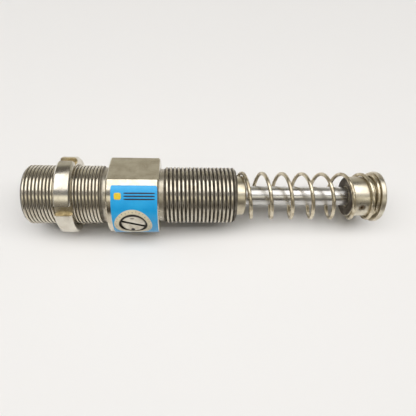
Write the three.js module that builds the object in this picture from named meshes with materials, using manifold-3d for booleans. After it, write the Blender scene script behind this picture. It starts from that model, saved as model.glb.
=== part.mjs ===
// Adjustable hydraulic shock absorber: a threaded cylinder with a wrench block in its middle, a slotted lock
// nut, a side dial that sets the damping, and a sprung piston rod that ends in a striker cap.
// Millimetres. The cylinder's axis is X, the rod points along +X, and the origin is halfway along the axis.
// An angle around the axis is an elevation: 0 points along -Y, 90 along +Z, 180 along +Y.

import * as THREE from 'three';
import { mergeVertices } from 'three/addons/utils/BufferGeometryUtils.js';
import Module from 'manifold-3d';

const wasm = await Module();
wasm.setup();

// ---------------------------------------------------------------- driving dimensions

const TOTAL_LENGTH = 166;
const REAR_THREAD_R = 27 / 2; // M27 x 1.5
const FRONT_THREAD_R = 26.44 / 2; // G 3/4, 14 turns to the inch
const BLOCK_R = 34.6 / 2;
const ACROSS_FLATS = 30;
const FLAT_ELEVATION = 114.5;
const BORE_R = 10;
const ROD_R = 4.5;
const STROKE = 50;
const FIT = 0.15; // radial gap between a turned piece and the bore that holds it
const RUNNING_FIT = 0.1; // radial gap of the rod in its bush and of the nut on its thread
const FACE_GAP = 0.3; // axial gap between pieces that stand end to end

// lengths along the axis, from the rear end to the crown of the cap
const REAR_THREAD = 33.8;
const REAR_RELIEF = 3.2;
const BLOCK = 22.5;
const FRONT_RELIEF = 2.1;
const FRONT_THREAD = 33.1;
const NOSE = 4.3;
const SKIRT = 12.8;
const CAP_HEAD = 4.2;

const rearEnd = -TOTAL_LENGTH / 2;
const rearThreadEnd = rearEnd + REAR_THREAD;
const blockStart = rearThreadEnd + REAR_RELIEF;
const blockEnd = blockStart + BLOCK;
const frontThreadStart = blockEnd + FRONT_RELIEF;
const bodyFront = frontThreadStart + FRONT_THREAD;
const noseFace = bodyFront + NOSE;
const capRim = noseFace + STROKE;
const capFlange = capRim + SKIRT;
const crown = capFlange + CAP_HEAD;

const ROUND = 48; // sides of the large turned pieces
const INNER = 32; // sides of the pieces inside them
const SMALL = 20; // sides of the small ones

// ---------------------------------------------------------------- shape helpers

const radians = THREE.MathUtils.degToRad;

// A solid turned about the X axis. The profile is a list of [x, radius] points that goes round the section.
function turned(profile, sides = INNER) {
  const points = profile.map(([x, r]) => new THREE.Vector2(r, x));
  return new THREE.LatheGeometry(points, sides).rotateZ(-Math.PI / 2);
}

// The same for a section that doesn't touch the axis: it closes on its first point.
function turnedRing(profile, sides = INNER) {
  return turned([...profile, profile[0]], sides);
}

// A plain tube about the X axis.
function tube(start, end, innerR, outerR, sides = INNER) {
  return turnedRing([[start, innerR], [start, outerR], [end, outerR], [end, innerR]], sides);
}

// A rubber ring about the X axis.
function oRing(x, middleR, sectionR) {
  return new THREE.TorusGeometry(middleR, sectionR, 8, INNER).rotateY(Math.PI / 2).translate(x, 0, 0);
}

// Moves a shape built around the local Y axis so that Y points out at an elevation, at station x.
function pointedOut(geometry, elevation, x) {
  return geometry.rotateX(radians(180 - elevation)).translate(x, 0, 0);
}

// A cylinder that stands on the local Y axis between two heights.
function post(radius, low, high, sides = SMALL) {
  return new THREE.CylinderGeometry(radius, radius, high - low, sides).translate(0, (low + high) / 2, 0);
}

// A hexagonal prism on the local Y axis, given its size across flats.
function hexPost(acrossFlats, low, high) {
  return post(acrossFlats / 2 / Math.cos(Math.PI / 6), low, high, 6);
}

// A box whose bottom face lies at a height on the local Y axis.
function block(alongX, height, alongZ, low) {
  return new THREE.BoxGeometry(alongX, height, alongZ).translate(0, low + height / 2, 0);
}

// Lays a shape built on the local Y axis along X.
function laid(geometry) {
  return geometry.rotateZ(-Math.PI / 2);
}

function solidOf(geometry) {
  const bare = geometry.clone();
  bare.deleteAttribute('normal');
  bare.deleteAttribute('uv');
  const merged = mergeVertices(bare, 1e-4);
  const mesh = new wasm.Mesh({
    numProp: 3,
    vertProperties: merged.attributes.position.array,
    triVerts: new Uint32Array(merged.index.array),
  });
  return new wasm.Manifold(mesh);
}

function geometryOf(solid) {
  const mesh = solid.getMesh();
  const geometry = new THREE.BufferGeometry();
  geometry.setAttribute('position', new THREE.BufferAttribute(new Float32Array(mesh.vertProperties), 3));
  geometry.setIndex(new THREE.BufferAttribute(new Uint32Array(mesh.triVerts), 1));
  geometry.computeVertexNormals();
  return geometry;
}

// The first shape with the others cut out of it.
function cut(geometry, ...tools) {
  return geometryOf(tools.reduce((solid, tool) => solid.subtract(solidOf(tool)), solidOf(geometry)));
}

function joined(geometry, ...others) {
  return geometryOf(others.reduce((solid, other) => solid.add(solidOf(other)), solidOf(geometry)));
}

function common(geometry, other) {
  return geometryOf(solidOf(geometry).intersect(solidOf(other)));
}

// ---------------------------------------------------------------- body, label and lock nut

const REAR_RELIEF_R = 12.75;
const FRONT_RELIEF_R = 12.3;
const END_CHAMFER = 1.2;
const BLOCK_CHAMFER = 0.3;
const THREAD_RUN_OUT = 0.7;

// The adjuster turns about a radial axis in the middle of the block.
const DIAL_ELEVATION = 12;
const DIAL_R = 5.25;
const dialX = (blockStart + blockEnd) / 2;
const dialPocketR = DIAL_R + 0.65;
const DIAL_POCKET_FLOOR = 15;
const STEM_R = 2;
const stemBoreR = STEM_R + 0.2;

function mainBody() {
  const outside = turnedRing([
    [rearEnd, BORE_R],
    [rearEnd, REAR_THREAD_R - END_CHAMFER],
    [rearEnd + END_CHAMFER, REAR_THREAD_R],
    [rearThreadEnd, REAR_THREAD_R],
    [rearThreadEnd + THREAD_RUN_OUT, REAR_RELIEF_R],
    [blockStart, REAR_RELIEF_R],
    [blockStart, BLOCK_R - BLOCK_CHAMFER],
    [blockStart + BLOCK_CHAMFER, BLOCK_R],
    [blockEnd - BLOCK_CHAMFER, BLOCK_R],
    [blockEnd, BLOCK_R - BLOCK_CHAMFER],
    [blockEnd, FRONT_RELIEF_R],
    [frontThreadStart, FRONT_RELIEF_R],
    [frontThreadStart + THREAD_RUN_OUT, FRONT_THREAD_R],
    [bodyFront - END_CHAMFER, FRONT_THREAD_R],
    [bodyFront, FRONT_THREAD_R - END_CHAMFER],
    [bodyFront, BORE_R],
  ], ROUND);
  const flats = [FLAT_ELEVATION, FLAT_ELEVATION + 180].map((elevation) =>
    pointedOut(block(BLOCK + 2, BLOCK_R, 2 * BLOCK_R, ACROSS_FLATS / 2), elevation, dialX));
  const dialPocket = pointedOut(post(dialPocketR, DIAL_POCKET_FLOOR, BLOCK_R + 2, 32), DIAL_ELEVATION, dialX);
  const stemBore = pointedOut(post(stemBoreR, BORE_R - 2, DIAL_POCKET_FLOOR + 1), DIAL_ELEVATION, dialX);
  return cut(outside, ...flats, dialPocket, stemBore);
}

const LABEL_R = 17.5; // outside of the label
const LABEL_THICKNESS = 0.14;
const LABEL_LOW = -30; // elevations of its two long edges
const LABEL_HIGH = 75.3;
const LABEL_MARGIN_REAR = 2.3;
const LABEL_MARGIN_FRONT = 0.4;

// The label is the sector of a thin tube, with a hole around the dial.
function label() {
  const start = blockStart + LABEL_MARGIN_REAR;
  const end = blockEnd - LABEL_MARGIN_FRONT;
  const sheet = tube(start, end, LABEL_R - LABEL_THICKNESS, LABEL_R, 96);
  const reach = 2 * LABEL_R;
  const sector = new THREE.Shape();
  sector.moveTo(0, 0);
  for (const share of [0, 0.25, 0.5, 0.75, 1]) {
    const angle = radians(LABEL_LOW + share * (LABEL_HIGH - LABEL_LOW));
    sector.lineTo(-reach * Math.sin(angle), -reach * Math.cos(angle));
  }
  const wedge = new THREE.ExtrudeGeometry(sector, { depth: 2 * BLOCK, bevelEnabled: false });
  wedge.rotateY(Math.PI / 2).translate(dialX - BLOCK, 0, 0);
  const hole = pointedOut(post(dialPocketR, DIAL_POCKET_FLOOR, LABEL_R + 2, 32), DIAL_ELEVATION, dialX);
  return cut(common(sheet, wedge), hole);
}

const NUT_R = 17.5;
const NUT_REAR = 14.9; // from the rear end of the body
const NUT_WIDTH = 7.5;
const NUT_CHAMFER = 0.9;
const NUT_SLOTS = 4;
const NUT_SLOT_WIDTH = 4.5;
const NUT_SLOT_FLOOR = 15.1;
const NUT_SLOT_ELEVATION = 37;

function lockNut() {
  const start = rearEnd + NUT_REAR;
  const end = start + NUT_WIDTH;
  const ring = turnedRing([
    [start, REAR_THREAD_R + RUNNING_FIT],
    [start, NUT_R - NUT_CHAMFER],
    [start + NUT_CHAMFER, NUT_R],
    [end - NUT_CHAMFER, NUT_R],
    [end, NUT_R - NUT_CHAMFER],
    [end, REAR_THREAD_R + RUNNING_FIT],
  ], ROUND);
  const slots = [];
  for (let i = 0; i < NUT_SLOTS; i++) {
    const slot = block(2 * NUT_WIDTH, NUT_R, NUT_SLOT_WIDTH, NUT_SLOT_FLOOR);
    slots.push(pointedOut(slot, NUT_SLOT_ELEVATION + (i * 360) / NUT_SLOTS, (start + end) / 2));
  }
  return cut(ring, ...slots);
}

// ---------------------------------------------------------------- adjuster

const DIAL_TOP = 16.8;
const DIAL_SHOULDER = 15.9;
const DIAL_FLANGE_R = 5.7;
const DIAL_SLOT = 1;
const DIAL_SLOT_TILT = 13; // degrees between the screwdriver slot and the body's axis
const STEM_END = 10.35;
const STEM_GROOVE = { low: 12.1, high: 13.1, radius: 1.3 };
const ECCENTRIC_R = 0.9;
const ECCENTRIC_OFFSET = 1.2;
const ECCENTRIC_END = 8;

// Disc, stem and eccentric pin are one turned piece, built on the local Y axis.
function adjusterDial() {
  const profile = [
    [0, STEM_END],
    [STEM_R, STEM_END],
    [STEM_R, STEM_GROOVE.low],
    [STEM_GROOVE.radius, STEM_GROOVE.low],
    [STEM_GROOVE.radius, STEM_GROOVE.high],
    [STEM_R, STEM_GROOVE.high],
    [STEM_R, DIAL_POCKET_FLOOR + 0.1],
    [DIAL_FLANGE_R, DIAL_POCKET_FLOOR + 0.1],
    [DIAL_FLANGE_R, DIAL_SHOULDER],
    [DIAL_R, DIAL_SHOULDER],
    [DIAL_R, DIAL_TOP - 0.2],
    [DIAL_R - 0.2, DIAL_TOP],
    [0, DIAL_TOP],
  ];
  const disc = new THREE.LatheGeometry(profile.map(([r, y]) => new THREE.Vector2(r, y)), 32);
  const pin = post(ECCENTRIC_R, ECCENTRIC_END, STEM_END + 1, 12).translate(0, 0, ECCENTRIC_OFFSET);
  const slot = block(3 * DIAL_R, 2, DIAL_SLOT, DIAL_TOP - DIAL_SLOT).rotateY(radians(-DIAL_SLOT_TILT));
  return pointedOut(cut(joined(disc, pin), slot), DIAL_ELEVATION, dialX);
}

function adjusterORing() {
  const sectionR = 0.4;
  const ring = new THREE.TorusGeometry(STEM_GROOVE.radius + sectionR + 0.02, sectionR, 6, SMALL);
  ring.rotateX(Math.PI / 2).translate(0, (STEM_GROOVE.low + STEM_GROOVE.high) / 2, 0);
  return pointedOut(ring, DIAL_ELEVATION, dialX);
}

// A spring ring with a gap, over the dial's flange.
function adjusterRetainingRing() {
  const low = DIAL_SHOULDER + 0.1;
  const innerR = DIAL_R + 0.1;
  const outerR = dialPocketR - 0.05;
  const high = low + 0.5;
  const section = [[innerR, low], [outerR, low], [outerR, high], [innerR, high], [innerR, low]];
  const ring = new THREE.LatheGeometry(section.map(([r, y]) => new THREE.Vector2(r, y)), 32);
  const gap = block(3, 3, 1.6, low - 1).translate(-DIAL_R, 0, 0);
  return pointedOut(cut(ring, gap), DIAL_ELEVATION, dialX);
}

// Metering holes stand closer together towards the end of the stroke.
const HOLES = 8;
const FIRST_HOLE = -22;
const LAST_HOLE = -63;
const HOLE_SHRINK = 0.72;

function meteringStation(i) {
  const share = (1 - HOLE_SHRINK ** i) / (1 - HOLE_SHRINK ** (HOLES - 1));
  return FIRST_HOLE + share * (LAST_HOLE - FIRST_HOLE);
}

const TUBE_R = 7.5;
const TUBE_BORE_R = 6;
const HOLE_R = 0.75;
const HOLE_ELEVATION = DIAL_ELEVATION + 180;
const tubeFront = -5.3;
const tubeRear = -72.7;

function pressureTube() {
  const holes = [];
  for (let i = 0; i < HOLES; i++) {
    holes.push(pointedOut(post(HOLE_R, TUBE_BORE_R - 1, TUBE_R + 1, 10), HOLE_ELEVATION, meteringStation(i)));
  }
  return cut(tube(tubeRear, tubeFront, TUBE_BORE_R, TUBE_R), ...holes);
}

const SLEEVE = { rear: -66, front: -31.2, innerR: 7.65, outerR: 9.3 };
const ECCENTRIC_PLAY = 0.35;

// The sleeve slides over the tube's holes; the dial's eccentric pin works in its cross slot.
function meteringSleeve() {
  const windows = [];
  for (let i = 1; i < HOLES; i++) {
    windows.push(pointedOut(post(1, SLEEVE.innerR - 1, SLEEVE.outerR + 1, 10), HOLE_ELEVATION, meteringStation(i)));
  }
  const slotWidth = 2 * (ECCENTRIC_R + ECCENTRIC_PLAY);
  const slotLength = slotWidth + 2 * ECCENTRIC_OFFSET;
  const crossSlot = pointedOut(block(slotWidth, 6, slotLength, SLEEVE.innerR - 2), DIAL_ELEVATION, dialX);
  return cut(tube(SLEEVE.rear, SLEEVE.front, SLEEVE.innerR, SLEEVE.outerR), crossSlot, ...windows);
}

const foamFront = -6.5;
const foamRear = -29.5;

function accumulatorFoam() {
  return tube(foamRear, foamFront, TUBE_R + 0.3, BORE_R - 0.3);
}

// ---------------------------------------------------------------- rear closure

const O_RING = { middleR: 9.07, sectionR: 0.8 }; // the two rings that seal in the cylinder's bore
const SPANNER_HOLE = { radius: 1.5, offset: 6.2, depth: 3 };
const plugFront = -73;
const plugRear = -82.2;
const PLUG_GROOVE = { start: -79, end: -77.2, radius: 8.2 };
const FILL_R = 2.5;
const FILL_SEAT_R = 1.2;
const FILL_HEX = 2.5; // key size of the fill screw
const fillSeat = -74.5;

function rearPlug() {
  const outerR = BORE_R - FIT;
  const spigotR = TUBE_BORE_R - RUNNING_FIT;
  const plug = turnedRing([
    [plugRear, FILL_R + RUNNING_FIT],
    [plugRear, outerR - 0.6],
    [plugRear + 0.6, outerR],
    [PLUG_GROOVE.start, outerR],
    [PLUG_GROOVE.start, PLUG_GROOVE.radius],
    [PLUG_GROOVE.end, PLUG_GROOVE.radius],
    [PLUG_GROOVE.end, outerR],
    [plugFront, outerR],
    [plugFront, spigotR],
    [plugFront + 1, spigotR],
    [plugFront + 1, FILL_SEAT_R],
    [fillSeat, FILL_SEAT_R],
    [fillSeat, FILL_R + RUNNING_FIT],
  ]);
  const spannerHoles = [-1, 1].map((side) =>
    laid(post(SPANNER_HOLE.radius, plugRear - 1, plugRear + SPANNER_HOLE.depth, 16))
      .translate(0, side * SPANNER_HOLE.offset, 0));
  return cut(plug, ...spannerHoles);
}

function rearPlugORing() {
  return oRing((PLUG_GROOVE.start + PLUG_GROOVE.end) / 2, O_RING.middleR, O_RING.sectionR);
}

const BALL_R = 1.9;

function fillSealBall() {
  const depth = Math.sqrt(BALL_R ** 2 - FILL_SEAT_R ** 2) + 0.05;
  return new THREE.SphereGeometry(BALL_R, 16, 12).translate(fillSeat - depth, 0, 0);
}

function fillScrew() {
  const start = plugRear + 0.6;
  const length = 3.5;
  const screw = turned([[start, 0], [start, FILL_R - 0.3], [start + 0.3, FILL_R], [start + length, FILL_R],
    [start + length, 0]], SMALL);
  return cut(screw, laid(hexPost(FILL_HEX, start - 1, start + 2)));
}

// ---------------------------------------------------------------- gland and its seals

const NOSE_R = 9.25;
const glandRear = -5;
const GLAND_GROOVE = { start: -1.2, end: 0.8, radius: 8.2 };
const GUIDE_R = ROD_R + 0.3;
const BUSH_R = 6;
const bushEnd = 5.3;
const SEAL_R = 7;
const sealStart = 6.3;
const sealEnd = 10.7;
const wiperStart = 12.4;

function gland() {
  const outerR = BORE_R - FIT;
  return turnedRing([
    [glandRear, BUSH_R + RUNNING_FIT],
    [glandRear, outerR],
    [GLAND_GROOVE.start, outerR],
    [GLAND_GROOVE.start, GLAND_GROOVE.radius],
    [GLAND_GROOVE.end, GLAND_GROOVE.radius],
    [GLAND_GROOVE.end, outerR],
    [bodyFront, outerR],
    [bodyFront, NOSE_R],
    [noseFace - 0.5, NOSE_R],
    [noseFace, NOSE_R - 0.5],
    [noseFace, SEAL_R],
    [wiperStart, SEAL_R],
    [wiperStart, GUIDE_R],
    [sealEnd, GUIDE_R],
    [sealEnd, SEAL_R + RUNNING_FIT],
    [sealStart, SEAL_R + RUNNING_FIT],
    [sealStart, GUIDE_R],
    [bushEnd, GUIDE_R],
    [bushEnd, BUSH_R + RUNNING_FIT],
  ]);
}

function glandORing() {
  return oRing((GLAND_GROOVE.start + GLAND_GROOVE.end) / 2, O_RING.middleR, O_RING.sectionR);
}

function rodBush() {
  return tube(glandRear + 0.2, bushEnd - FACE_GAP, ROD_R + RUNNING_FIT, BUSH_R);
}

// A lip seal: its groove opens towards the oil.
function rodSeal() {
  const start = sealStart + 0.2;
  const end = sealEnd - 0.2;
  const innerR = ROD_R + RUNNING_FIT;
  const middleR = (innerR + SEAL_R) / 2;
  return turnedRing([[start, innerR], [start, middleR - 0.5], [start + 1.7, middleR], [start, middleR + 0.5],
    [start, SEAL_R], [end, SEAL_R], [end, innerR]]);
}

function rodWiper() {
  const start = wiperStart + 0.2;
  const innerR = ROD_R + RUNNING_FIT;
  const outerR = SEAL_R - RUNNING_FIT;
  return turnedRing([[start, innerR + 0.3], [start, outerR], [noseFace - 1, outerR], [noseFace - 0.8, outerR - 0.8],
    [noseFace - 0.4, innerR + 0.5], [noseFace - 0.4, innerR]]);
}

// ---------------------------------------------------------------- rod and piston

const PISTON_LENGTH = 9.9;
const PISTON_R = 5.85;
const pistonFront = glandRear - 0.5;
const pistonRear = pistonFront - PISTON_LENGTH;
const TAIL_R = 2.5;
const TAIL_BORE_R = TAIL_R + RUNNING_FIT;
const tailEnd = pistonRear - 5.6;
const rodEnd = capFlange - 2;
const PASSAGE = { radius: 0.7, offset: 3.9 };
const RING_GROOVE = { start: pistonRear + 3.8, end: pistonRear + 6.2, radius: 4.9 };

function pistonRod() {
  const shoulder = pistonFront + 0.1;
  return turned([[tailEnd, 0], [tailEnd, TAIL_R - 0.4], [tailEnd + 0.4, TAIL_R], [shoulder, TAIL_R],
    [shoulder, ROD_R], [rodEnd - 0.6, ROD_R], [rodEnd, ROD_R - 0.6], [rodEnd, 0]]);
}

function piston() {
  const blank = turnedRing([
    [pistonRear, TAIL_BORE_R],
    [pistonRear, PISTON_R],
    [RING_GROOVE.start, PISTON_R],
    [RING_GROOVE.start, RING_GROOVE.radius],
    [RING_GROOVE.end, RING_GROOVE.radius],
    [RING_GROOVE.end, PISTON_R],
    [pistonFront, PISTON_R],
    [pistonFront, TAIL_BORE_R],
  ]);
  const passages = [];
  for (let i = 0; i < 4; i++) {
    const angle = radians(45 + 90 * i);
    const passage = laid(post(PASSAGE.radius, pistonRear - 1, pistonFront + 1, 10));
    passages.push(passage.translate(0, PASSAGE.offset * Math.cos(angle), PASSAGE.offset * Math.sin(angle)));
  }
  return cut(blank, ...passages);
}

// A split ring of low-friction plastic.
function pistonRing() {
  const ring = tube(RING_GROOVE.start + 0.1, RING_GROOVE.end - 0.1, RING_GROOVE.radius + 0.05, PISTON_R + 0.1);
  const split = block(PISTON_LENGTH, 4, 0.8, RING_GROOVE.radius - 1);
  return cut(ring, pointedOut(split, 90, (RING_GROOVE.start + RING_GROOVE.end) / 2));
}

const COLLAR_R = 3.15;
const COLLAR_LENGTH = 1.8;
const CHECK_RING_THICKNESS = 0.9;
const PISTON_NUT = { flangeR: 4.8, flange: 1, hex: 8, hexHeight: 2.4 };

// A loose ring that shuts the piston's passages on the way in and frees them on the way out.
function checkRing() {
  const end = pistonRear - 0.15;
  return tube(end - CHECK_RING_THICKNESS, end, COLLAR_R + 0.15, PISTON_R - 0.25);
}

function pistonNut() {
  const collarEnd = pistonRear - 0.1;
  const flangeEnd = collarEnd - COLLAR_LENGTH;
  const hexEnd = flangeEnd - PISTON_NUT.flange;
  const turnedPart = turned([[hexEnd, 0], [hexEnd, PISTON_NUT.flangeR], [flangeEnd, PISTON_NUT.flangeR],
    [flangeEnd, COLLAR_R], [collarEnd, COLLAR_R], [collarEnd, 0]]);
  const hex = laid(hexPost(PISTON_NUT.hex, hexEnd - PISTON_NUT.hexHeight, hexEnd + 0.5));
  const hole = laid(post(TAIL_BORE_R, hexEnd - 4, collarEnd + 1, INNER));
  return cut(joined(turnedPart, hex), hole);
}

// ---------------------------------------------------------------- cap and spring

const SKIRT_R = 9.55;
const FLANGE_R = 12.1;
const CAP_SCREW = { elevation: 26, fromRim: 5.3, radius: 1.45, low: 4.75, high: 9.15 };

// The crown falls from a flat centre to the flange's rounded edge.
function cap() {
  const flatR = 7;
  const edgeX = crown - 1.8;
  const edgeR = FLANGE_R - 0.5;
  const outline = [
    [rodEnd + 0.2, 0],
    [rodEnd + 0.2, ROD_R + RUNNING_FIT],
    [capRim + 0.8, ROD_R + RUNNING_FIT],
    [capRim, ROD_R + 0.9],
    [capRim, SKIRT_R - 0.5],
    [capRim + 0.5, SKIRT_R],
    [capFlange, SKIRT_R],
    [capFlange, FLANGE_R - 0.3],
    [capFlange + 0.3, FLANGE_R],
    [edgeX - 0.5, FLANGE_R],
    [edgeX - 0.15, FLANGE_R - 0.15],
  ];
  for (const share of [0, 0.25, 0.5, 0.75, 1]) {
    const fall = (1 - share) ** 2;
    outline.push([edgeX + (crown - edgeX) * (1 - fall), edgeR + share * (flatR - edgeR)]);
  }
  outline.push([crown, 0]);
  const screwHole = post(CAP_SCREW.radius + RUNNING_FIT, 0, SKIRT_R + 1, 20);
  return cut(turned(outline, ROUND), pointedOut(screwHole, CAP_SCREW.elevation, capRim + CAP_SCREW.fromRim));
}

function capSetScrew() {
  const screw = post(CAP_SCREW.radius, CAP_SCREW.low, CAP_SCREW.high, 20);
  const socket = hexPost(1.5, CAP_SCREW.high - 1.5, CAP_SCREW.high + 1);
  return pointedOut(cut(screw, socket), CAP_SCREW.elevation, capRim + CAP_SCREW.fromRim);
}

const SPRING_R = 10.6; // middle of the wire
const WIRE_R = 0.875;
const SPRING_PITCH = 9.7;
const OPEN_TURNS = 5.75;
const END_TURNS = 1.79; // over these the coils close up towards the cap's flange
const SPRING_GAP = 0.05; // between the spring's ends and the faces that they press on
const SPRING_START_ELEVATION = 252; // where the wire's rear end lies
const springStart = bodyFront + WIRE_R + SPRING_GAP;
const springEnd = capFlange - WIRE_R - SPRING_GAP;
const endLength = springEnd - springStart - OPEN_TURNS * SPRING_PITCH;
const endPitch = (2 * endLength) / END_TURNS - SPRING_PITCH;

// The spring's middle line: open turns from the body's face, then turns whose pitch falls evenly to the end.
class SpringCurve extends THREE.Curve {
  getPoint(t, target = new THREE.Vector3()) {
    const turns = t * (OPEN_TURNS + END_TURNS);
    const closing = Math.max(turns - OPEN_TURNS, 0);
    const lost = ((SPRING_PITCH - endPitch) * closing ** 2) / (2 * END_TURNS);
    const angle = radians(SPRING_START_ELEVATION) - 2 * Math.PI * turns;
    return target.set(springStart + turns * SPRING_PITCH - lost, -SPRING_R * Math.cos(angle), SPRING_R * Math.sin(angle));
  }
}

function returnSpring() {
  const section = new THREE.Shape();
  const sides = 6;
  for (let i = 0; i < sides; i++) {
    const angle = (2 * Math.PI * i) / sides;
    const move = i === 0 ? 'moveTo' : 'lineTo';
    section[move](WIRE_R * Math.cos(angle), WIRE_R * Math.sin(angle));
  }
  section.closePath();
  const steps = Math.round((OPEN_TURNS + END_TURNS) * 20);
  return new THREE.ExtrudeGeometry(section, { steps, extrudePath: new SpringCurve(), bevelEnabled: false });
}

// ---------------------------------------------------------------- finishes and assembly

const finishes = {
  body: { color: 0x9a9382, roughness: 0.35, metalness: 1 },
  bright: { color: 0xb9b19c, roughness: 0.28, metalness: 1 },
  chrome: { color: 0xb8bbbd, roughness: 0.12, metalness: 1 },
  steel: { color: 0x8c8c88, roughness: 0.4, metalness: 1 },
  dark: { color: 0x3a3835, roughness: 0.5, metalness: 1 },
  bronze: { color: 0xa8814a, roughness: 0.4, metalness: 1 },
  label: { color: 0x2ea6e6, roughness: 0.45, metalness: 0 },
  rubber: { color: 0x151515, roughness: 0.8, metalness: 0 },
  polyurethane: { color: 0x3d6ea0, roughness: 0.6, metalness: 0 },
  foam: { color: 0x3b3b3b, roughness: 0.95, metalness: 0 },
  plastic: { color: 0x6b4a2a, roughness: 0.6, metalness: 0 },
};

const shockAbsorber = new THREE.Group();

function add(name, geometry, finish) {
  const mesh = new THREE.Mesh(geometry, new THREE.MeshStandardMaterial(finishes[finish]));
  mesh.name = name;
  shockAbsorber.add(mesh);
}

add('main_body', mainBody(), 'body');
add('label', label(), 'label');
add('lock_nut', lockNut(), 'bright');

add('adjuster_dial', adjusterDial(), 'bright');
add('adjuster_o_ring', adjusterORing(), 'rubber');
add('adjuster_retaining_ring', adjusterRetainingRing(), 'dark');
add('metering_sleeve', meteringSleeve(), 'steel');
add('pressure_tube', pressureTube(), 'steel');
add('accumulator_foam', accumulatorFoam(), 'foam');

add('rear_plug', rearPlug(), 'steel');
add('rear_plug_o_ring', rearPlugORing(), 'rubber');
add('fill_seal_ball', fillSealBall(), 'steel');
add('fill_screw', fillScrew(), 'dark');

add('gland', gland(), 'body');
add('gland_o_ring', glandORing(), 'rubber');
add('rod_bush', rodBush(), 'bronze');
add('rod_seal', rodSeal(), 'polyurethane');
add('rod_wiper', rodWiper(), 'rubber');

add('piston_rod', pistonRod(), 'chrome');
add('piston', piston(), 'steel');
add('piston_ring', pistonRing(), 'plastic');
add('check_ring', checkRing(), 'steel');
add('piston_nut', pistonNut(), 'steel');

add('cap', cap(), 'bright');
add('cap_set_screw', capSetScrew(), 'dark');
add('return_spring', returnSpring(), 'bright');

export default shockAbsorber;
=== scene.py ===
"""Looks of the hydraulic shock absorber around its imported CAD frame.

Lengths here are in mm and are multiplied by MM where they reach Blender, which works in metres.
The cylinder's axis is X. An elevation is an angle around it: 0 points along -Y, 90 along +Z and
180 along +Y.
"""

import math

import bmesh
import bpy
import numpy as np
from mathutils import Matrix, Vector


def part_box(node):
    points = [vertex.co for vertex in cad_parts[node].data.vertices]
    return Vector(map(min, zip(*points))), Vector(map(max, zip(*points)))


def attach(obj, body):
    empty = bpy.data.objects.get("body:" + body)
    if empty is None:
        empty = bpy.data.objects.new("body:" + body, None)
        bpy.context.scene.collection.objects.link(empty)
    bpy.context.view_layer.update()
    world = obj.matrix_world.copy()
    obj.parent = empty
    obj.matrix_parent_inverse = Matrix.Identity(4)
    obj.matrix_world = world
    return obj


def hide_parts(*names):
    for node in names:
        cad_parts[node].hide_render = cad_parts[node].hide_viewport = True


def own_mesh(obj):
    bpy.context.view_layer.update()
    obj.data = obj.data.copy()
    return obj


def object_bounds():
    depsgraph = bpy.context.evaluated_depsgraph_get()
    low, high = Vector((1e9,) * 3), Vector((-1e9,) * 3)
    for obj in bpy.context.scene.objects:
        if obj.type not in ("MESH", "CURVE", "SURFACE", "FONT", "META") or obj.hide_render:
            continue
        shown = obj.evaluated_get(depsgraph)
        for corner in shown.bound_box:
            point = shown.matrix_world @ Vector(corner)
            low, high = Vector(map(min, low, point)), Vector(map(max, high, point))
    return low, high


MM = 0.001
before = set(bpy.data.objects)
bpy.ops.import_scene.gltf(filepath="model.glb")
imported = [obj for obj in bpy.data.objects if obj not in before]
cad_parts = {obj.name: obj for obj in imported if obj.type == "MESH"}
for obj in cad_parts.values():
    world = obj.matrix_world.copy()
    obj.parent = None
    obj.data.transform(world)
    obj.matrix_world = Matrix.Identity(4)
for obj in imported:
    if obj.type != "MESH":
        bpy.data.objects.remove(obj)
cad_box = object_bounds()


def span(node):
    """Where a CAD node starts and ends along the axis."""
    low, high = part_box(node)
    return low[0] / MM, high[0] / MM


# ---------------------------------------------------------------- dimensions

rear_end, body_front = span("main_body")
nut_start, nut_end = span("lock_nut")
label_start, label_end = span("label")
plug_rear, plug_front = span("rear_plug")
gland_rear, nose_face = span("gland")
rod_rear, rod_end = span("piston_rod")
cap_rim, crown = span("cap")

REAR_THREAD = 33.8
REAR_RELIEF = 3.2
BLOCK = 22.5
FRONT_RELIEF = 2.1
CAP_HEAD = 4.2
rear_thread_end = rear_end + REAR_THREAD
block_start = rear_thread_end + REAR_RELIEF
block_end = block_start + BLOCK
front_thread_start = block_end + FRONT_RELIEF
cap_flange = crown - CAP_HEAD
dial_x = (block_start + block_end) / 2

REAR_THREAD_R = 13.5
REAR_PITCH = 1.5
REAR_DEPTH = 0.92
FRONT_THREAD_R = 13.22
FRONT_PITCH = 25.4 / 14
FRONT_DEPTH = 1.162
REAR_RELIEF_R = 12.75
FRONT_RELIEF_R = 12.3
END_CHAMFER = 1.2
RUN_OUT = 0.7
BORE_R = 10
BLOCK_R = 17.3
HALF_FLATS = 15
FLAT_ELEVATION = 114.5
DIAL_ELEVATION = 12
DIAL_R = 5.25
DIAL_TOP = 16.8
POCKET_R = 6.15
DIAL_SLOT = 1.3
DIAL_SLOT_TILT = 19
BLOCK_CHAMFER = 0.55
POCKET_FLOOR = 15
LABEL_R = 17.5
LABEL_THICKNESS = 0.14
LABEL_LOW = -30
LABEL_HIGH = 75.3
NUT_R = 17.5
NUT_SLOTS = 4
NUT_SLOT_FLOOR = 15.1
NUT_SLOT_WIDTH = 4.5
NUT_SLOT_ELEVATION = 37
SEAL_FIT = 0.15  # radial gap of the rear plug and the gland in the bore
O_RING_GROOVE_R = 8.2
PLUG_GROOVE = (-79, -77.2)
GLAND_GROOVE = (-1.2, 0.8)
FILL_SCREW_R = 2.5
SPANNER_HOLE_R = 1.5
ROD_R = 4.5
SKIRT_R = 9.55
FLANGE_R = 12.1
SCREW_ELEVATION = 26
screw_x = cap_rim + 5.3


def outward(elevation):
    """Unit vector away from the axis."""
    angle = math.radians(elevation)
    return Vector((0.0, -math.cos(angle), math.sin(angle)))


# ---------------------------------------------------------------- shapes: (points in mm, faces)


def wrap(x, radius, degrees):
    """Points at station x and a radius, one for each elevation in degrees."""
    angle = np.radians(degrees)
    return np.stack([x + 0 * angle, -radius * np.cos(angle), radius * np.sin(angle)], axis=-1)


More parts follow.
